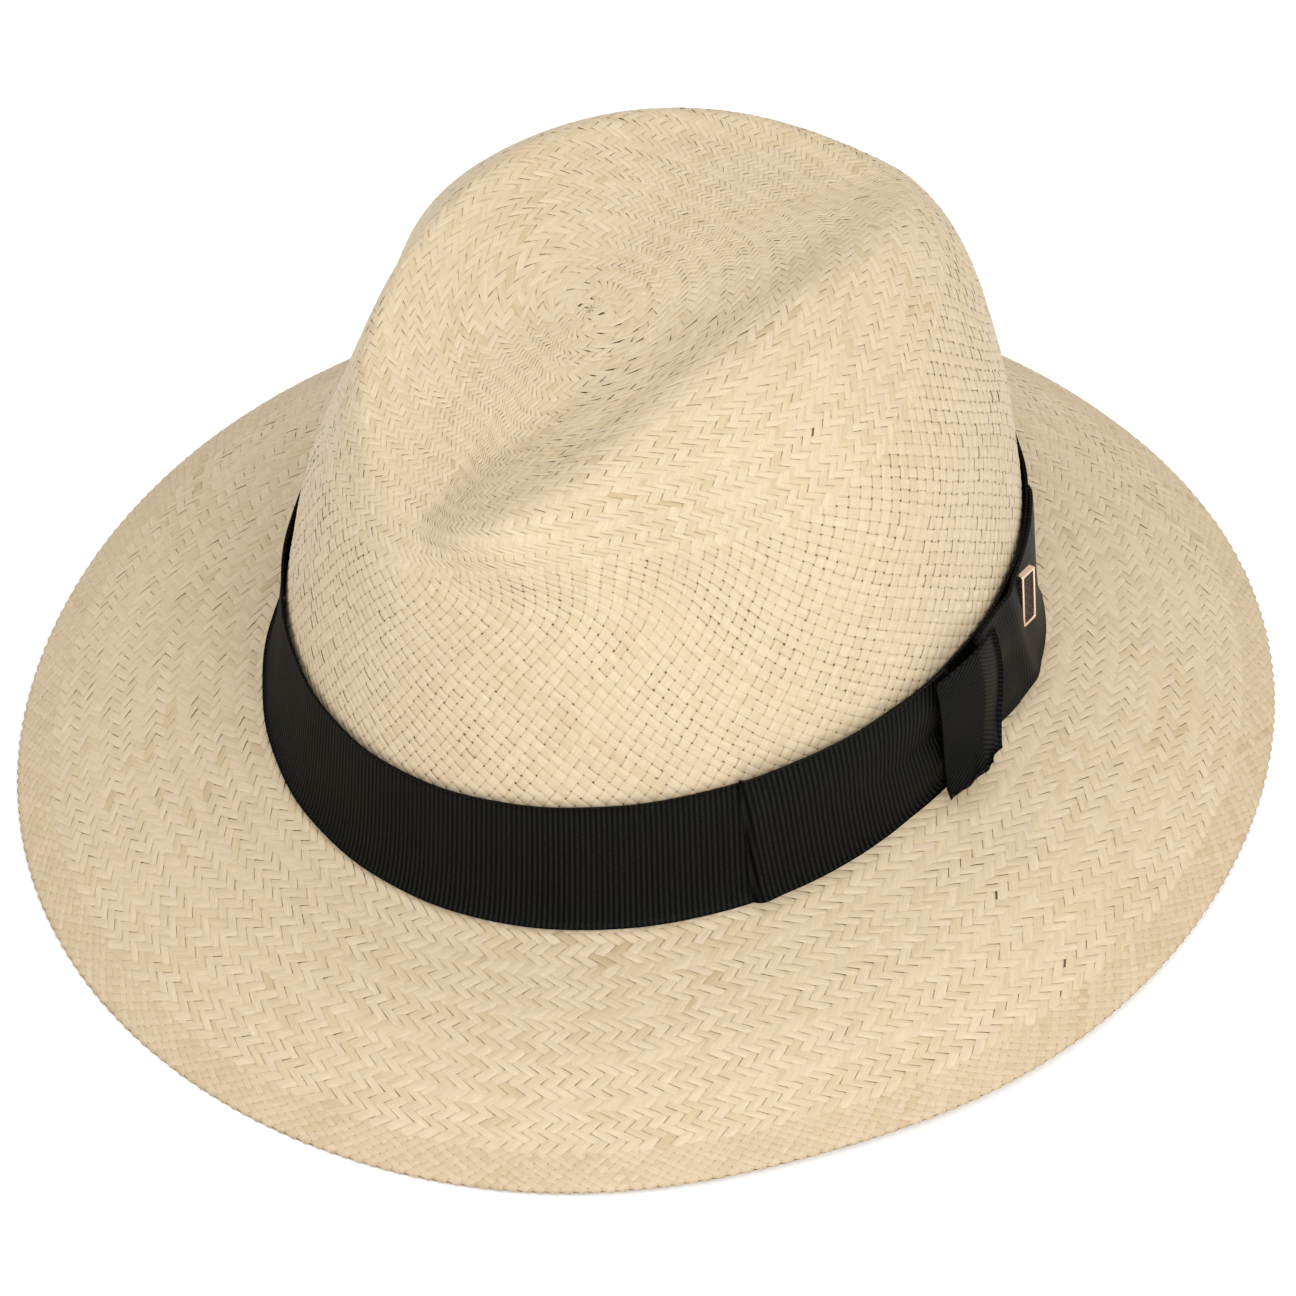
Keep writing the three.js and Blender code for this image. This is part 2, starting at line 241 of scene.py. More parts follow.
class Face:
    """A stretch of the hat's outer face. around runs 0 to 1 round the hat from the wearer's
    left towards the back, and along runs 0 to 1 at an even pace over the stretch."""

    def __init__(self, sections, rows=420):
        self.points = np.empty((len(sections), rows, 3))
        share = np.linspace(0, 1, rows)
        for i, section in enumerate(sections):
            gaps = np.linalg.norm(np.diff(section, axis=0), axis=1)
            run = np.concatenate([[0], np.cumsum(gaps)])
            for k in range(3):
                self.points[i, :, k] = np.interp(share * run[-1], run, section[:, k])
        self.length = np.linalg.norm(np.diff(self.points, axis=1), axis=2).sum(1).mean()
        self.girth = np.linalg.norm(self.points - np.roll(self.points, 1, 0), axis=2).sum(0)
        round_hat = np.roll(self.points, -1, 0) - np.roll(self.points, 1, 0)
        over_hat = np.gradient(self.points, axis=1)
        self.out = unit(np.cross(over_hat, round_hat))
        if self.girth[0] < 1e-6:
            self.out[:, 0] = self.out[:, 1]

    def girth_at(self, along):
        return np.interp(along, np.linspace(0, 1, self.girth.size), self.girth)

    def at(self, around, along, lift=0):
        """Points of the face, lifted straight out of it."""
        turns, rows = self.points.shape[:2]
        a = np.mod(around, 1) * turns
        b = np.clip(along, 0, 1) * (rows - 1)
        i = np.floor(a).astype(int) % turns
        j = np.minimum(np.floor(b).astype(int), rows - 2)
        u, v = (a - np.floor(a))[..., None], (b - j)[..., None]
        k = (i + 1) % turns

        def mix(grid):
            return ((grid[i, j] * (1 - v) + grid[i, j + 1] * v) * (1 - u)
                    + (grid[k, j] * (1 - v) + grid[k, j + 1] * v) * u)

        return mix(self.points) + mix(self.out) * np.asarray(lift)[..., None]


turns_round_hat = 1080
rings_round = block_rings(np.arange(turns_round_hat) / turns_round_hat * 2 * math.pi)
edge_step = 0
corner_step = len(brim_shares)
middle_step = corner_step + len(crown_rings) + 1
crown_face = Face(smooth_through(rings_round, np.linspace(middle_step, corner_step, 801)))
brim_sections = smooth_through(rings_round, np.linspace(corner_step, edge_step, 401))

# The brim's edge rolls under in a half circle.
edge_radius = 0.6
edge_in = unit(brim_sections[:, -2:-1] - brim_sections[:, -1:])
edge_up = unit(np.array([0, 0, 1]) - edge_in * edge_in[..., 2:])
roll = np.linspace(0, math.pi, 30)[1:, None]
edge_roll = (brim_sections[:, -1:] - edge_up * edge_radius
             + edge_radius * (edge_up * np.cos(roll) - edge_in * np.sin(roll)))
brim_face = Face(np.concatenate([brim_sections, edge_roll], 1))


# ---- straw ----
# Split toquilla palm, bleached: flat strips two to three millimetres wide with fine fibres along
# them. No two strips are quite the same cream, and each keeps its own tone along its length.

tone_stops = {
    0.0: (0.50, 0.375, 0.22, 1),
    0.2: (0.565, 0.44, 0.277, 1),
    0.5: (0.60, 0.478, 0.317, 1),
    0.8: (0.625, 0.505, 0.345, 1),
    1.0: (0.615, 0.475, 0.33, 1),
}
# The brown of painted shade, laid over the straw at the edges of the floats and where their ends
# dive under.
gap_shade_brown = (0.32, 0.205, 0.095, 1)


def feed(socket, value):
    """Gives a socket a plain value, or wires another node's output to it."""
    if isinstance(value, bpy.types.NodeSocket):
        socket.id_data.links.new(value, socket)
    else:
        socket.default_value = value


def node(material, kind, feeds=None, **settings):
    """A node with its settings and with its inputs fed."""
    made = material.node_tree.nodes.new(kind)
    for name, value in settings.items():
        setattr(made, name, value)
    for socket, value in (feeds or {}).items():
        feed(made.inputs[socket], value)
    return made


def noise(material, place, scale=1.0, detail=2.0, roughness=0.5):
    made = node(material, "ShaderNodeTexNoise", {
        "Vector": place, "Scale": scale, "Detail": detail, "Roughness": roughness})
    return made.outputs["Fac"]


def stretched(material, place, scale):
    return node(material, "ShaderNodeMapping", {"Vector": place, "Scale": scale}).outputs["Vector"]


def spread_from(material, value, start, stop, low, high):
    """low where the value is start, high where it is stop, and even in between."""
    made = node(material, "ShaderNodeMapRange", {
        "Value": value, "From Min": start, "From Max": stop, "To Min": low, "To Max": high})
    return made.outputs["Result"]


def maths(material, operation, first, second=0.5):
    return node(material, "ShaderNodeMath", {0: first, 1: second}, operation=operation).outputs[0]


def between(material, share, low, high):
    """A colour between two colours."""
    made = node(material, "ShaderNodeMix", {0: share, 6: low, 7: high}, data_type="RGBA")
    return made.outputs[2]


def bump(material, height, strength, distance):
    made = node(material, "ShaderNodeBump", {
        "Height": height, "Strength": strength, "Distance": distance})
    return made.outputs["Normal"]


straw, straw_shader = new_material("toquilla_straw")
strip_tone = node(straw, "ShaderNodeAttribute", attribute_name="tone").outputs["Fac"]
strip_open = node(straw, "ShaderNodeAttribute", attribute_name="open").outputs["Fac"]
strip_map = node(straw, "ShaderNodeUVMap", uv_map="strip").outputs["UV"]
tones = node(straw, "ShaderNodeValToRGB", {"Fac": strip_tone})
for place in list(tone_stops)[1:-1]:
    tones.color_ramp.elements.new(place)
for stop, colour in zip(tones.color_ramp.elements, tone_stops.values()):
    stop.color = colour
fibre = noise(straw, stretched(straw, strip_map, (5.0, 0.22, 1.0)), detail=3.0, roughness=0.6)
blotch = noise(straw, stretched(straw, strip_map, (0.5, 0.12, 1.0)))
straw_shades = maths(straw, "MULTIPLY", spread_from(straw, fibre, 0.3, 0.7, 0.86, 1.06),
                     spread_from(straw, blotch, 0.3, 0.7, 0.93, 1.05))
straw_colour = node(straw, "ShaderNodeVectorMath", {
    0: tones.outputs["Color"], "Scale": straw_shades}, operation="SCALE").outputs["Vector"]
# At a float's edges and its dived-under ends the straw is painted over with that brown: painted
# shade in the gaps.
edge_shade = spread_from(straw, strip_open, 0.0, 0.85, 0.0, 1.0)
feed(straw_shader.inputs["Base Color"], between(straw, edge_shade, gap_shade_brown, straw_colour))
feed(straw_shader.inputs["Roughness"], spread_from(straw, fibre, 0.0, 1.0, 0.42, 0.62))
feed(straw_shader.inputs["Normal"], bump(straw, fibre, 0.35, 0.00012))
straw_shader.inputs["Specular IOR Level"].default_value = 0.35


# ---- weave ----
# Two families of strips spiral outwards from the middle of the crown in opposite ways and cross
# each other. Where a strip lies on top it shows as a short float, and its ends dive under.

straw_random = np.random.default_rng(7)
slant = 0.6  # how far the first family leans from the rows, and the second is 1 less this
under_reach = 0.42  # how far a float runs on under its neighbours, in strips
bend_start = 0.22  # how far in from its ends it begins to bend down, in strips

# A way of weaving: after how many rows it repeats, how many strips a float lies over, the gap at
# each edge, how high a float arches and crowns and how deep its ends dive, how much the strips
# differ in tone, and where a float's mesh has points across and along it.
Weave = namedtuple("Weave", "repeat over gap arch crown ends variety across along")
Floats = namedtuple("Floats", "points across travel bare tone offset width length")


def float_points(face, along_of_row, strips, first_family, row, number, weave):
    """Every float of one family. row and number say where each float starts."""
    across, along = np.meshgrid(weave.across, weave.along, indexing="ij")

    def stray(amount):
        return ((straw_random.random(row.size) - 0.5) * amount)[:, None, None]

    gap = weave.gap * (0.2 + 1.6 * straw_random.random(strips)[number])
    gap = (gap * (0.8 + 0.4 * straw_random.random(row.size)))[:, None, None]
    lean, rise, sway, shift = stray(0.14), stray(0.08), stray(0.16), stray(0.09)
    near, far = -under_reach, weave.over + under_reach
    along_float = near + (far - near) * along
    travel = along_float + shift
    own = number[:, None, None] + gap + (1 - 2 * gap) * across + sway * (along - 0.5)
    crossed = (row - number)[:, None, None] + travel
    a, b = (own, crossed) if first_family else (crossed, own)
    position = slant * b - (1 - slant) * a
    wander = 0.12 * np.sin(0.21 * position + 0.9 * np.sin(0.37 * (a + b)))
    from_end = np.minimum(along_float - near, far - along_float)
    above = np.clip(from_end / (under_reach + bend_start), 0, 1)
    above = above * above * (3 - 2 * above)
    dome = 1 - np.abs(2 * across - 1) ** 3.2
    lift = (-weave.ends + (weave.arch + weave.ends) * above + weave.crown * dome
            + lean * (2 * across - 1) * above + rise)
    points = face.at((position + wander) / strips, along_of_row(a + b), lift)
    # How open each point is: low at a float's edges and where its ends dive under. The material
    # darkens the straw by it, as painted shade.
    flank = np.sqrt(dome)
    bare = 0.35 * np.minimum(above, flank) + 0.65 * np.maximum(above, flank)
    return points, across, travel, bare


def woven_zone(face, start, stop, rows, strips, weave):
    """The floats of both families between two places on a face."""
    zone = []
    girth = face.girth_at((start + stop) / 2)
    row_height = face.length * (stop - start) / rows
    for first_family in (True, False):
        first_row = 0 if first_family else weave.repeat // 2
        row_list = np.arange(first_row - weave.repeat, rows, weave.repeat)
        row_list = row_list[row_list + weave.over >= 0]
        row, number = np.meshgrid(row_list, np.arange(strips), indexing="ij")
        row, number = row.ravel(), number.ravel()
        share = slant if first_family else 1 - slant
        width = 1 / math.hypot(strips / girth, share / row_height)
        length = 1 / math.hypot(strips / girth, (1 - share) / row_height)
        points, across, travel, bare = float_points(
            face, lambda w: start + (stop - start) * w / rows, strips, first_family, row, number,
            weave)
        even_tone = straw_random.random(strips) - 0.5
        offset = straw_random.random(strips)
        strip_tone = 0.143 * straw_random.standard_normal(strips) + 0.35 * even_tone
        strip_tone = np.clip(0.55 + weave.variety * strip_tone, 0, 1)
        tone = strip_tone[number] + 0.05 * straw_random.standard_normal(number.size)
        zone.append(Floats(points, across, travel, bare, np.clip(tone, 0, 1),
                           offset[number] + 0.013 * (row - number), width, length))
    return zone


def grid_quads(index):
    """Four-sided faces between the neighbours of a grid of corner numbers."""
    return np.stack([index[..., :-1, :-1], index[..., 1:, :-1], index[..., 1:, 1:],
                     index[..., :-1, 1:]], -1).reshape(-1, 4)


def quad_mesh(name, corners, quads, map_name, uv, material):
    """A smooth mesh from corners in millimetres, with one map."""
    mesh = bpy.data.meshes.new(name)
    mesh.vertices.add(len(corners))
    mesh.vertices.foreach_set("co", (corners / 1000).astype(np.float32).ravel())
    mesh.loops.add(quads.size)
    mesh.loops.foreach_set("vertex_index", quads.astype(np.int32).ravel())
    mesh.polygons.add(len(quads))
    mesh.polygons.foreach_set("loop_start", np.arange(len(quads), dtype=np.int32) * 4)
    mesh.update(calc_edges=True)
    mesh.polygons.foreach_set("use_smooth", np.ones(len(quads), bool))
    layer = mesh.uv_layers.new(name=map_name)
    layer.data.foreach_set("uv", uv[quads.ravel()].astype(np.float32).ravel())
    mesh.materials.append(material)
    return mesh


def put_on_hat(name, mesh, replaced):
    piece = put_in_scene(name, mesh)
    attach(piece, "root")
    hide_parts(replaced)


def straw_piece(name, zone):
    """One piece from a zone's floats, each with its strip's tone and its own place on the map."""
    corners, quads, tone, bare, uv = [], [], [], [], []
    count = 0
    for floats in zone:
        shape = floats.points.shape[:3]
        index = count + np.arange(math.prod(shape)).reshape(shape)
        count += index.size
        corners.append(floats.points.reshape(-1, 3))
        quads.append(grid_quads(index))
        tone.append(np.repeat(floats.tone, index[0].size))
        bare.append(np.broadcast_to(floats.bare, shape).ravel())
        offset = floats.offset[:, None, None]
        uv.append(np.stack([floats.across * floats.width + offset * 17,
                            floats.travel * floats.length + offset * 53], -1).reshape(-1, 2))
    mesh = quad_mesh(name, np.concatenate(corners), np.concatenate(quads), "strip",
                     np.concatenate(uv), straw)
    # open carries that mask to the material, which paints shade with it.
    for attribute, values in (("tone", tone), ("open", bare)):
        layer = mesh.attributes.new(attribute, "FLOAT", "POINT")
        layer.data.foreach_set("value", np.concatenate(values).astype(np.float32))
    put_on_hat(name, mesh, "straw_body")


# ---- crown side ----
# The crown's side is plain weave, one over and one under, pulled a little open by the block, so
# that a pinhole shows at each crossing.

side_from = 0.485
side_rows, side_strips = 48, 150
across_plain = (0, 0.12, 0.88, 1)
open_plain = Weave(
    repeat=2, over=1, gap=0.055, arch=0.12, crown=0.15, ends=0.2, variety=0.6,
    across=across_plain, along=(0, 0.17, 0.33, 0.67, 0.83, 1))
right_spiral, left_spiral = woven_zone(
    crown_face, side_from, 1.0, side_rows, side_strips, open_plain)
straw_piece("crown_side_right_spiral", [right_spiral])
straw_piece("crown_side_left_spiral", [left_spiral])


# ---- crown top ----
# The top of the crown is twill, two over and two under, in rounds that grow from the middle. New
# strips are laid in from one round to the next, so they stay about equally wide.

twill = Weave(
    repeat=4, over=2, gap=0.012, arch=0.1, crown=0.14, ends=0.14, variety=1.0,
    across=(0, 0.12, 0.5, 0.88, 1), along=(0, 0.14, 0.27, 0.73, 0.86, 1))


def twill_rounds(face, edges, row_height, strip_width, fewest):
    """Floats of each round between the edges, with rows and strips of about the given size."""
    rounds = []
    for inner, outer in zip(edges[:-1], edges[1:]):
        depth = face.length * (outer - inner)
        rows = twill.repeat * max(1, round(depth / row_height / twill.repeat))
        strips = max(fewest, round(face.girth_at((inner + outer) / 2) / strip_width))
        rounds.append(woven_zone(face, inner, outer, rows, strips, twill))
    return rounds


top_edges = [0.006, 0.034, 0.066, 0.108, 0.165, 0.23, 0.30, 0.375, 0.43, side_from]
top_rounds = twill_rounds(crown_face, top_edges, 1.15, 2.5, 10)
straw_piece("crown_top_weave", sum(top_rounds[:7], []))
straw_piece("crown_rim_weave", sum(top_rounds[7:], []))


# ---- brim ----
# The brim is the same twill, with wider strips. Along its edge the ends are woven back in as a
# close plain border.

border_from = 0.83
brim_edges = [0.0, 0.17, 0.34, 0.51, 0.68, border_from]
brim_rounds = twill_rounds(brim_face, brim_edges, 1.34, 3.85, 10)
straw_piece("brim_inner_weave", sum(brim_rounds[:3], []))
straw_piece("brim_outer_weave", sum(brim_rounds[3:], []))

border_rows, border_strips = 10, 300
close_plain = Weave(
    repeat=2, over=1, gap=0.02, arch=0.13, crown=0.14, ends=0.24, variety=1.0,
    across=across_plain, along=(0, 0.22, 0.78, 1))
border = woven_zone(brim_face, border_from, 1.0, border_rows, border_strips, close_plain)
straw_piece("brim_border_weave", border)


# ---- straw in shade ----
# Through the gaps between the floats, the strips that run underneath show, in deep shade. They
# are a smooth sheet a little below the floats.

hole_shade, shade_shader = new_material("straw_in_shade")
shade_place = node(hole_shade, "ShaderNodeTexCoord").outputs["Object"]
shade_colour = between(hole_shade, noise(hole_shade, shade_place, scale=600.0),
                       (0.10, 0.06, 0.028, 1), (0.22, 0.14, 0.07, 1))
feed(shade_shader.inputs["Base Color"], shade_colour)
shade_shader.inputs["Roughness"].default_value = 0.8

shade_depth = 0.28
middle_starts, roll_starts = 0.004, 0.985
brim_strips, brim_rows = 220, 24


def straw_sheet(name, face, stretch, depth, strips, rows, material, outwards):
    """A smooth sheet under the floats, with strips round it and rows of strips along it."""
    around, along = np.meshgrid(np.linspace(0, 1, 181), np.linspace(*stretch, 61), indexing="ij")
    corners = face.at(around, along, np.full(around.shape, -depth))
    quads = grid_quads(np.arange(around.size).reshape(around.shape))
    if outwards:
        quads = quads[:, ::-1]
    uv = np.stack([around * strips + along * rows, along * rows - around * strips], -1)
    mesh = quad_mesh(name, corners.reshape(-1, 3), quads, "strips", uv.reshape(-1, 2), material)
    put_on_hat(name, mesh, "straw_body")


straw_sheet("crown_shade_layer", crown_face, (middle_starts, 1), shade_depth, side_strips,
            side_rows, hole_shade, True)
straw_sheet("brim_shade_layer", brim_face, (0, roll_starts), shade_depth, brim_strips,
            brim_rows, hole_shade, True)


# ---- inside and underside ----
# The inside of the crown and the underside of the brim show the same strips from behind. They
# are a smooth sheet, the strips' thickness below the outer floats, in a fine basket pattern.

inner_straw, inner_shader = new_material("inner_straw")
inner_map = node(inner_straw, "ShaderNodeUVMap", uv_map="strips").outputs["UV"]
inner_axes = node(inner_straw, "ShaderNodeSeparateXYZ", {"Vector": inner_map}).outputs
basket_place = node(inner_straw, "ShaderNodeCombineXYZ", {
    "X": inner_axes["X"], "Y": inner_axes["Y"], "Z": 0.5}).outputs["Vector"]
basket = node(inner_straw, "ShaderNodeTexChecker", {"Vector": basket_place, "Scale": 1.0})
basket_height = node(inner_straw, "ShaderNodeMix", {
    0: basket.outputs["Fac"],
    2: maths(inner_straw, "PINGPONG", inner_axes["X"], 0.5),
    3: maths(inner_straw, "PINGPONG", inner_axes["Y"], 0.5),
}, data_type="FLOAT").outputs[0]
strip_edge = spread_from(inner_straw, basket_height, 0.02, 0.16, 0.0, 1.0)
inner_tone = between(inner_straw, noise(inner_straw, inner_map, scale=0.7, detail=4.0),
                     (0.52, 0.40, 0.245, 1), (0.64, 0.51, 0.335, 1))
# The strips go to dark brown towards their edges: painted shade between the strips.
inner_colour = between(inner_straw, strip_edge, (0.2, 0.12, 0.055, 1), inner_tone)
feed(inner_shader.inputs["Base Color"], inner_colour)
feed(inner_shader.inputs["Normal"], bump(inner_straw, strip_edge, 0.7, 0.0003))
inner_shader.inputs["Roughness"].default_value = 0.6

inner_depth = 1.0
crown_strips, crown_rows = 120, 60
straw_sheet("crown_inside", crown_face, (middle_starts, 1), inner_depth, crown_strips,
            crown_rows, inner_straw, False)
straw_sheet("brim_underside", brim_face, (0, roll_starts), inner_depth, brim_strips,
            brim_rows, inner_straw, False)


# ---- grosgrain ----
# Black grosgrain ribbon: a tight warp over thick weft ribs, a dull silky sheen along each rib,
# partly the shader's own gloss and partly painted lighter on the rib tops, with painted shade in
# the grooves, and a firm woven edge on both sides.

ribbon_width = 36.5
rib_pitch, rib_rise = 1.3, 0.2
rib_end = 0.9
selvedge_rise, selvedge_in, selvedge_wide = 0.16, 0.5, 0.35

grosgrain, grosgrain_shader = new_material("black_grosgrain")
ribbon_map = node(grosgrain, "ShaderNodeUVMap", uv_map="ribbon").outputs["UV"]
thread = noise(grosgrain, stretched(grosgrain, ribbon_map, (1.0, 6.0, 1.0)))
ribbon_axes = node(grosgrain, "ShaderNodeSeparateXYZ", {"Vector": ribbon_map}).outputs
rib_turn = maths(grosgrain, "MULTIPLY", ribbon_axes["X"], 2 * math.pi)
rib_top = spread_from(grosgrain, maths(grosgrain, "COSINE", rib_turn), 1.0, -1.0, 0.0, 1.0)
rib_threads = maths(grosgrain, "MULTIPLY", rib_top, thread)
# Rib tops are painted lighter and grooves darker: a painted sheen and painted shade.
rib_sheen_and_groove_shade = between(grosgrain, rib_threads,
                        (0.0004, 0.0004, 0.0004, 1), (0.021, 0.0212, 0.0192, 1))
feed(grosgrain_shader.inputs["Base Color"], rib_sheen_and_groove_shade)
feed(grosgrain_shader.inputs["Normal"], bump(grosgrain, rib_threads, 0.6, 0.00012))
grosgrain_shader.inputs["Roughness"].default_value = 0.42
grosgrain_shader.inputs["Specular IOR Level"].default_value = 0.04


def ribbon_piece(name, replaced, place, ribs, columns, rows, thick, closed=False, backed=False):
    """A ribbon with real ribs. place gives points for shares along its length and its width, and
    ribs counts the ribs up to there. Its back is left open unless it is backed."""
    s = np.arange(columns) / columns if closed else np.linspace(0, 1, columns)
    even = np.linspace(0, 1, rows)
    t = 0.65 * even + 0.35 * (0.5 - 0.5 * np.cos(even * math.pi))
    s, t = np.meshgrid(s, t, indexing="ij")
    step = 1e-3
    here = place(s, t)
    along = place(s + step, t) - place(s - step, t)
    across = place(s, np.minimum(t + step, 1)) - place(s, np.maximum(t - step, 0))
    out = unit(np.cross(along, across))
    from_edge = np.minimum(t, 1 - t) * ribbon_width
    rib_count = ribs(s, t)
    rib = np.abs(np.sin(math.pi * rib_count)) ** 0.7 - 0.5
    rise = rib_rise * rib * np.clip(from_edge / rib_end, 0, 1)
    rise = rise + selvedge_rise * swell(from_edge, selvedge_in, selvedge_wide)
    layers = np.stack([here + out * rise[..., None], here - out * thick]).reshape(-1, 3)
    uv = np.stack([rib_count, t * ribbon_width], -1).reshape(-1, 2)
    front = np.arange(s.size).reshape(s.shape)
    if closed:
        front = np.concatenate([front, front[:1]])
    back = front + s.size
    sides = [front, np.stack([back[:, 0], front[:, 0]], 1), np.stack([front[:, -1], back[:, -1]], 1)]
    if backed:
        sides.append(back.T)
    if not closed:
        sides += [np.stack([front[0], back[0]], 1), np.stack([back[-1], front[-1]], 1)]
    quads = np.concatenate([grid_quads(side) for side in sides])
    used, quads = np.unique(quads, return_inverse=True)
    mesh = quad_mesh(name, layers[used], quads.reshape(-1, 4), "ribbon",
                     np.concatenate([uv, uv])[used], grosgrain)
    put_on_hat(name, mesh, replaced)


# ---- ribbon band ----
# One length of ribbon sewn round the foot of the crown, its lower edge down on the brim. It
# stands a little proud of the straw and its join is hidden under the bow.

foot_face = Face(smooth_through(rings_round, np.linspace(corner_step + 1, corner_step + 0.02, 80)),
                 rows=60)
band_top = 0.02
band_lift = 1.25
band_girth = foot_face.girth.mean() + 8
band_ribs = round(band_girth / rib_pitch)


def snug(around, t):
    """Behind the bow the band's upper edge is drawn closer to the crown."""
    return 0.75 * press(around * 2 * math.pi, 72, 22) * (1 - t)


def band_place(s, t):
    wave = 0.12 * np.sin(2 * math.pi * s * 9) * t + 0.1 * np.sin(2 * math.pi * s * 23 + 1)
    return foot_face.at(s, band_top + (1 - band_top) * t, band_lift + wave - snug(s, t))


ribbon_piece("ribbon_band_cloth", "ribbon_band", band_place, lambda s, t: s * band_ribs,
             columns=band_ribs * 4, rows=12, thick=0.7, closed=True)


# ---- bow, front loop ----
# The ribbon is folded back on itself into a flat loop. It keeps its whole width at the fold and
# is drawn together under the knot, where creases run out from the middle of the pinch.

front_loop_from, front_loop_to = -30.5, 4.5
front_loop_length = 56
fold_slope = 1.2


def front_loop_place(s, t):
    turn = front_loop_from + (front_loop_to - front_loop_from) * s
    turn = turn - fold_slope * (0.5 - t) * (1 - s)
    gather = np.clip(s, 0, 1) ** 2.5
    height = t * (1 - 0.13 * gather)
    fold_kink = 0.5 * swell(t, 0.52, 0.12) * swell(s, 0, 0.05)
    thick = 1.3 + 0.9 * swell(s, 0.03, 0.05) + 0.5 * gather
    rounded = np.clip(s / 0.02, 0, 1) ** 0.5
    hug = 0.45 + 0.55 * np.clip(t / 0.22, 0, 1)
    creases = gather * (0.7 * swell(t, 0.2 - 0.12 * (1 - s), 0.11) - 1.5 * swell(t, 0.5, 0.08)
                        + 0.9 * swell(t, 0.72 + 0.15 * (1 - s), 0.12))
    lift = band_lift + 0.45 + thick * rounded * hug + creases - fold_kink
    return foot_face.at(turn / 360, height, lift)


def front_loop_ribs(s, t):
    bowed = 5.5 * np.clip(s, 0, 1) ** 3 * np.cos((t - 0.5) * math.pi)
    sloped = 2.5 * (t - 0.5) * (1 - s)
    return (s * front_loop_length + bowed - sloped) / rib_pitch


ribbon_piece("bow_front_loop_cloth", "bow_front_loop", front_loop_place, front_loop_ribs,
             columns=260, rows=30, thick=0.8)


# ---- bow, knot ----
# A short length of ribbon wrapped over the pinch and drawn tight behind it. It is creased down
# the middle, so its ribs meet in a chevron, and its lower end is puckered.

knot_from, knot_to = 0.6, 14.4
knot_width = 19


def knot_crease(t):
    return 0.66 - 0.1 * t


def knot_place(s, t):
    left = knot_from + 2.4 * t - 2.2 * t ** 2
    right = knot_to + 1.6 * np.sin(math.pi * t) - 2.4 * t ** 3
    turn = left + (right - left) * s
    height = t - 0.07 * s * t ** 2 + 0.016 * np.sin(s * 13 + 1) * t ** 6
    crease = knot_crease(t)
    facet = np.where(s < crease, s / crease, 1 - 0.8 * ((s - crease) / (1 - crease)) ** 1.5)
    fullness = 0.45 + 0.55 * np.sin(math.pi * np.clip(t, 0.02, 0.98)) ** 0.6
    hem = np.clip((t - 0.72) / 0.28, 0, 1)
    pucker = (0.45 * np.sin(s * 19 + 3 * t) + 1.3 * np.sin(math.pi * s)) * hem ** 1.5
    lift = band_lift + 3.3 + 0.6 * t + 2.2 * t ** 5 + 1.9 * facet * fullness + pucker
    return foot_face.at(turn / 360, height, lift)


def knot_ribs(s, t):
    across = (s - knot_crease(t)) * knot_width
    return (t * ribbon_width - np.where(across < 0, -0.75 * across, across)) / rib_pitch


ribbon_piece("bow_knot_cloth", "bow_knot", knot_place, knot_ribs, columns=80, rows=170, thick=0.9)


# ---- bow, back loop ----
# The same loop on the other side of the knot. It leaves the knot nearly straight, so it stands
# off the band in the middle, flares at its lower edge, and comes back to the band at its end.

back_loop_from, back_loop_to = 12.0, 46.0
back_loop_length = 62


def back_loop_place(s, t):
    around = (back_loop_from + (back_loop_to - back_loop_from) * s) / 360
    arch = np.sin(math.pi * np.clip(s, 0, 1) ** 0.85)
    gather = np.clip(1 - s, 0, 1) ** 4
    height = band_top + (1 - band_top) * t * (1 - 0.12 * gather)
    creases = gather * (0.4 + np.sin(14 * (t - 0.2))) + 0.9 * swell(s, 0.3 + 0.12 * t, 0.07)
    end = np.clip((s - 0.96) / 0.04, 0, 1)
    lift = band_lift + 0.9 + (0.1 + 3.5 * t ** 1.2) * arch + creases - 0.7 * end - snug(around, t)
    return foot_face.at(around, height, lift)


def back_loop_ribs(s, t):
    bowed = 6 * np.clip(1 - s, 0, 1) ** 3 * np.cos((t - 0.5) * math.pi)
    return (s * back_loop_length - bowed) / rib_pitch


ribbon_piece("bow_back_loop_cloth", "bow_back_loop", back_loop_place, back_loop_ribs,
             columns=270, rows=28, thick=0.8, backed=True)


# ---- badge ----
# A small stamped plate, gilt and polished on its frame, with a darkened face that carries a
# plain lattice in low relief. It is riveted through the outer layer of the back loop.

badge_wide, badge_tall, badge_thick = 5.4, 15.6, 1.5
badge_frame, badge_pocket = 0.8, 0.6
badge_corner, least_corner = 0.55, 0.12
corner_points = 12
face_columns, face_rows = 29, 91
lattice_pitch, lattice_rise = 1.3, 0.22
badge_s, badge_t, badge_stand = 0.475, 0.25, 1.0

gilt, gilt_shader = new_material("rose_gilt")
gilt_place = node(gilt, "ShaderNodeTexCoord").outputs["Object"]
gilt_wear = noise(gilt, gilt_place, scale=900.0)
feed(gilt_shader.inputs["Roughness"], spread_from(gilt, gilt_wear, 0.0, 1.0, 0.16, 0.36))
gilt_shader.inputs["Base Color"].default_value = (0.83, 0.60, 0.45, 1)
gilt_shader.inputs["Metallic"].default_value = 1.0

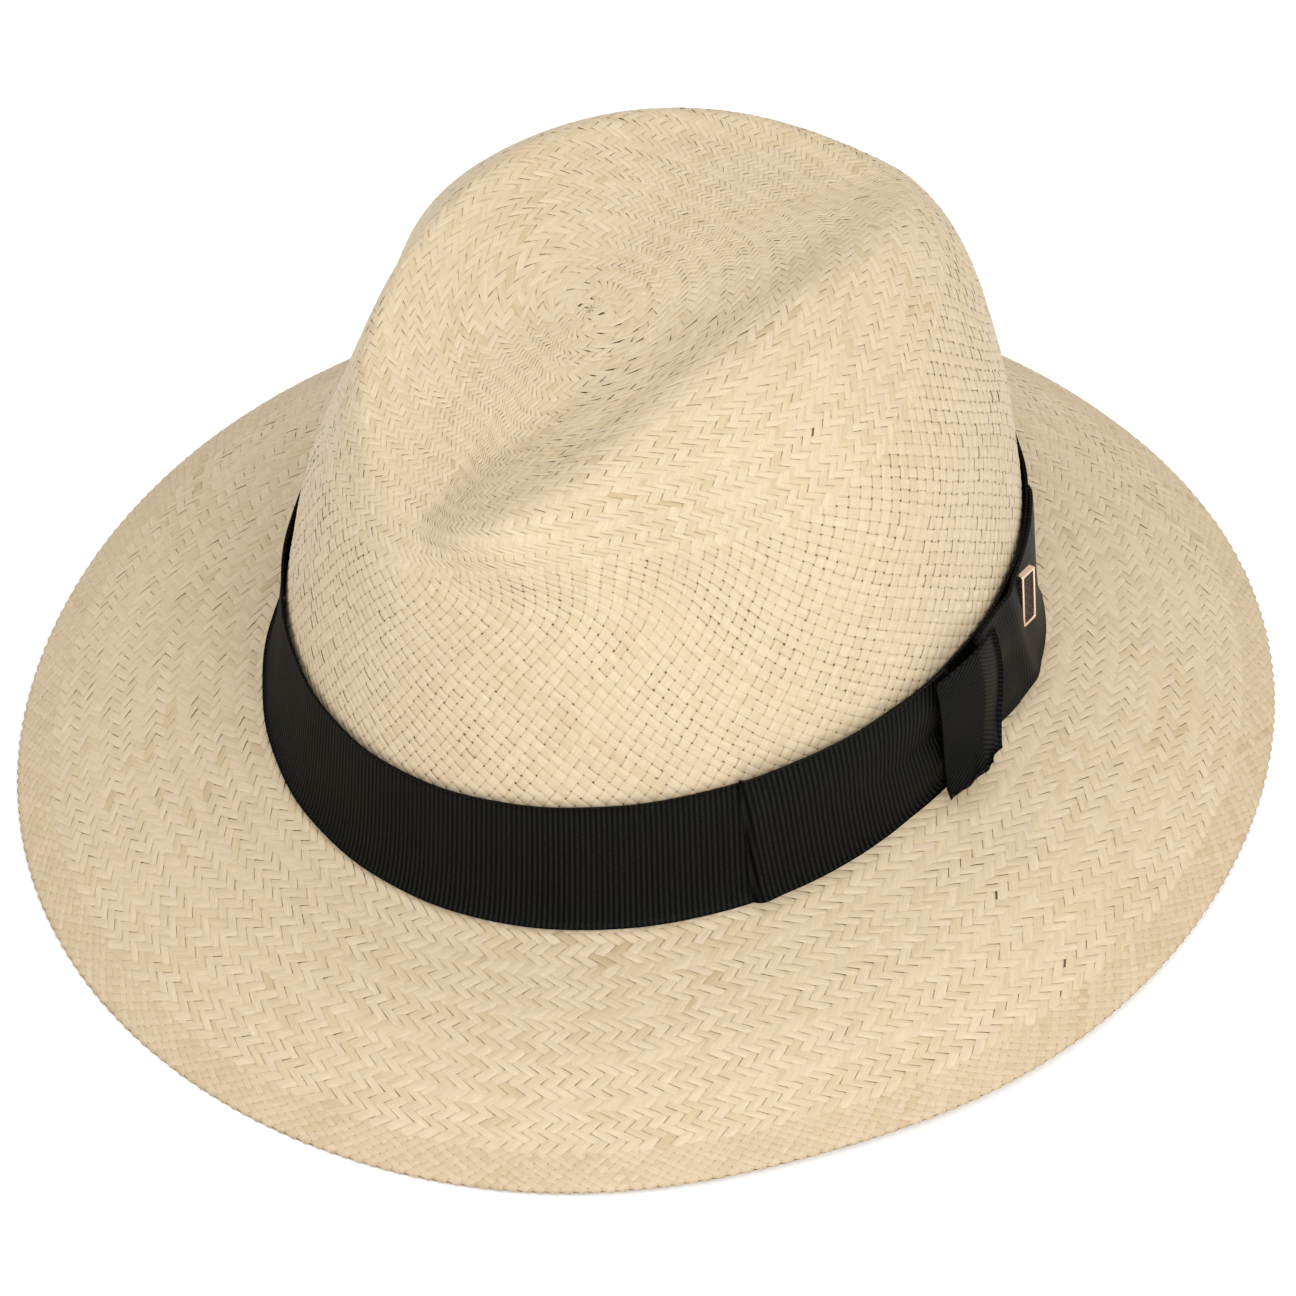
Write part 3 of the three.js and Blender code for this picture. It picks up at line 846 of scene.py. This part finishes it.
dark_face, dark_shader = new_material("darkened_face")
dark_place = node(dark_face, "ShaderNodeTexCoord").outputs["Object"]
dark_colour = between(dark_face, noise(dark_face, dark_place, scale=1400.0, detail=3.0),
                      (0.015, 0.011, 0.009, 1), (0.09, 0.06, 0.045, 1))
feed(dark_shader.inputs["Base Color"], dark_colour)
dark_shader.inputs["Metallic"].default_value = 0.8
dark_shader.inputs["Roughness"].default_value = 0.45

# The plate's own axes, and its place on the loop.
badge_up = unit(np.array([-0.1, 0.02, 1.0]))
badge_out = unit(np.cross([-0.1, 1.0, 0.0], badge_up))
badge_along = np.cross(badge_up, badge_out)
badge_middle = back_loop_place(np.array([badge_s]), np.array([badge_t]))[0]
badge_middle = badge_middle + badge_out * badge_stand

# The frame is a stack of round-cornered outlines, each with its inset and its height.
badge_levels = [
    (0.0, 0.0), (0.0, badge_thick - 0.25), (0.08, badge_thick - 0.07), (0.25, badge_thick),
    (badge_frame - 0.2, badge_thick), (badge_frame - 0.05, badge_thick - 0.07),
    (badge_frame, badge_thick - 0.2), (badge_frame, badge_thick - badge_pocket),
]
badge_points = []
for inset, rise in badge_levels:
    half_x, half_y = badge_wide / 2 - inset, badge_tall / 2 - inset
    corner = max(badge_corner - inset * 0.5, least_corner)
    for quarter, (sign_x, sign_y) in enumerate(((1, 1), (-1, 1), (-1, -1), (1, -1))):
        for part in range(corner_points):
            bend = math.pi / 2 * (quarter + part / (corner_points - 1))
            badge_points.append((sign_x * (half_x - corner) + corner * math.cos(bend),
                                 sign_y * (half_y - corner) + corner * math.sin(bend), rise))
ring_size = 4 * corner_points
frame_faces = [
    (a + k, a + (k + 1) % ring_size, a + (k + 1) % ring_size + ring_size, a + k + ring_size)
    for a in range(0, ring_size * (len(badge_levels) - 1), ring_size) for k in range(ring_size)]
frame_faces.append(tuple(range(ring_size - 1, -1, -1)))

lattice_from = len(badge_points)
for x in np.linspace(-1, 1, face_columns) * (badge_wide / 2 - badge_frame):
    for y in np.linspace(-1, 1, face_rows) * (badge_tall / 2 - badge_frame):
        lattice = max(math.cos((x + y) * math.pi / lattice_pitch),
                      math.cos((x - y) * math.pi / lattice_pitch), 0)
        badge_points.append((x, y, badge_thick - badge_pocket + lattice_rise * lattice ** 2))
lattice_faces = grid_quads(
    lattice_from + np.arange(face_columns * face_rows).reshape(face_columns, face_rows))

badge_mesh = bpy.data.meshes.new("badge")
badge_mesh.from_pydata(
    [tuple((badge_middle + badge_along * x + badge_up * y + badge_out * z) / 1000)
     for x, y, z in badge_points], [], frame_faces + lattice_faces.tolist())
badge_mesh.materials.append(gilt)
badge_mesh.materials.append(dark_face)
for polygon in badge_mesh.polygons[len(frame_faces):]:
    polygon.use_smooth = True
    polygon.material_index = 1
put_on_hat("badge", badge_mesh, "badge_plate")


# ---- finish ----
# The scene is brought up to date.

bpy.context.view_layer.update()
